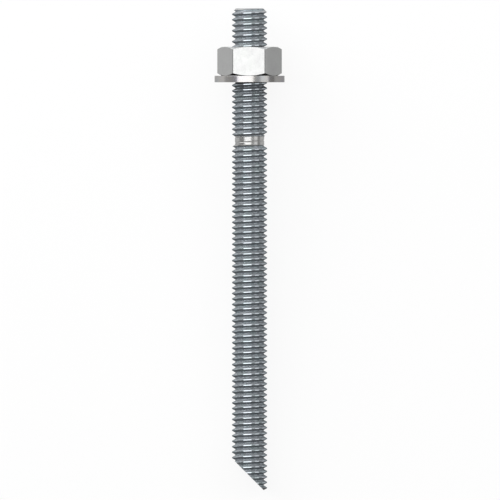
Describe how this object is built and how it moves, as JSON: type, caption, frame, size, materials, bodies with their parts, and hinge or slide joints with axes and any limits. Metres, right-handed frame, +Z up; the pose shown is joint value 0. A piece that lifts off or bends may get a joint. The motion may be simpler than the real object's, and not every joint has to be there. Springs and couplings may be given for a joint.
{
  "type": "chemical anchor stud",
  "caption": "Fully threaded steel anchor stud with a slanted tip, a plain depth mark, a hex nut and a flat washer, set with resin in a drilled hole.",
  "frame": {"origin": "middle of the bounding box, on the floor that the washer's rim and the tip's thread lie on", "axes": "+X along the floor from the slanted tip to the nut, +Z up; the stud's axis rises 2.55 degrees from the tip to the nut"},
  "size_m": [0.1101, 0.016, 0.016],
  "materials": {
    "stud_zinc": "zinc plated, satin",
    "nut_zinc": "zinc plated, satin",
    "washer_zinc": "zinc plated, bright"
  },
  "bodies": {
    "stud": {"threaded_stud": "stud_zinc"},
    "washer": {"flat_washer": "washer_zinc"},
    "nut": {"hex_nut": "nut_zinc"}
  },
  "joints": [
    {"name": "nut_travel", "type": "slide", "parent": "stud", "child": "washer", "axis": [0.999, 0, 0.0445], "range_m": [-0.0132, 0.0155]},
    {"name": "nut_turn", "type": "hinge", "parent": "washer", "child": "nut", "pos_m": [0.04286, 0, 0.00821], "axis": [0.999, 0, 0.0445], "range_deg": [-3780, 4440]}
  ],
  "couplings": [
    {"joint": "nut_travel", "follows": "nut_turn", "m_per_rad": 0.00019894}
  ]
}
